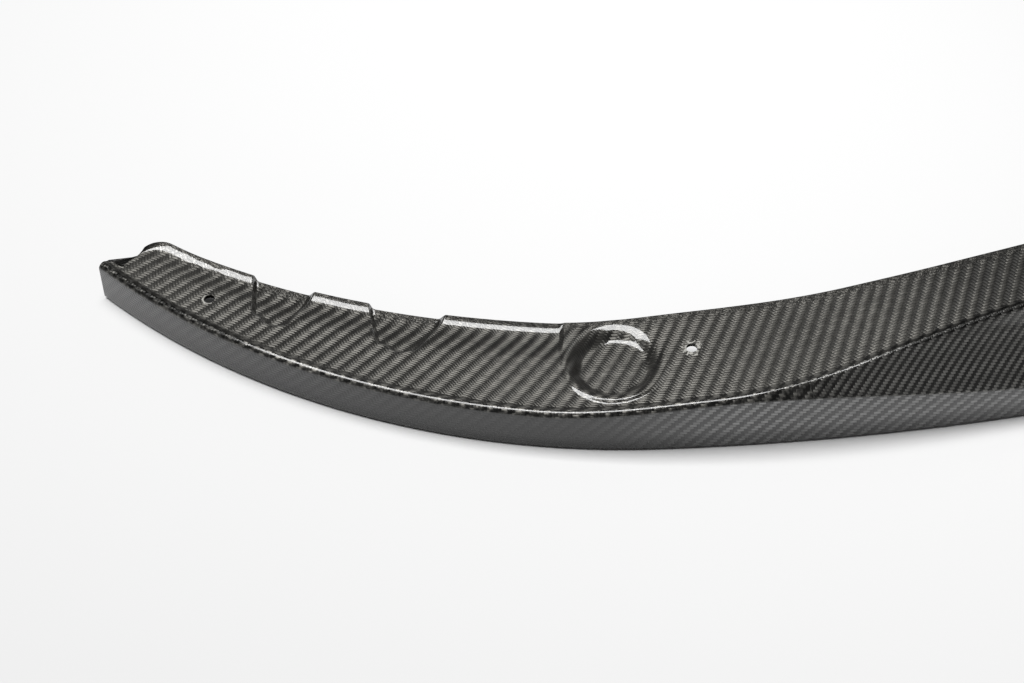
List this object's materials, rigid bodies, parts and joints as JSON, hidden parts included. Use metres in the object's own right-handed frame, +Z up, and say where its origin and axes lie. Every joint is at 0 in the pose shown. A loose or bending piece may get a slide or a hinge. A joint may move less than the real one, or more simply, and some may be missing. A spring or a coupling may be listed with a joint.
{
  "type": "front splitter lip",
  "caption": "Curved car front splitter lip, an open moulded carbon fibre shell with a drafted wall, beaded shelf, pressed recesses and round dishes, for fixing under a front bumper.",
  "frame": {"origin": "bottom centre of the part's box: on the plane of the return flange, in the middle across the car and from front to back", "axes": "+X across the car, +Z up from the return flange, and the front edge faces -Y"},
  "size_m": [1.6058, 0.3512, 0.08],
  "materials": {
    "carbon_laminate": "clear-coated 2x2 twill carbon fibre"
  },
  "bodies": {
    "root": {"splitter_lip": "carbon_laminate"}
  },
  "joints": []
}
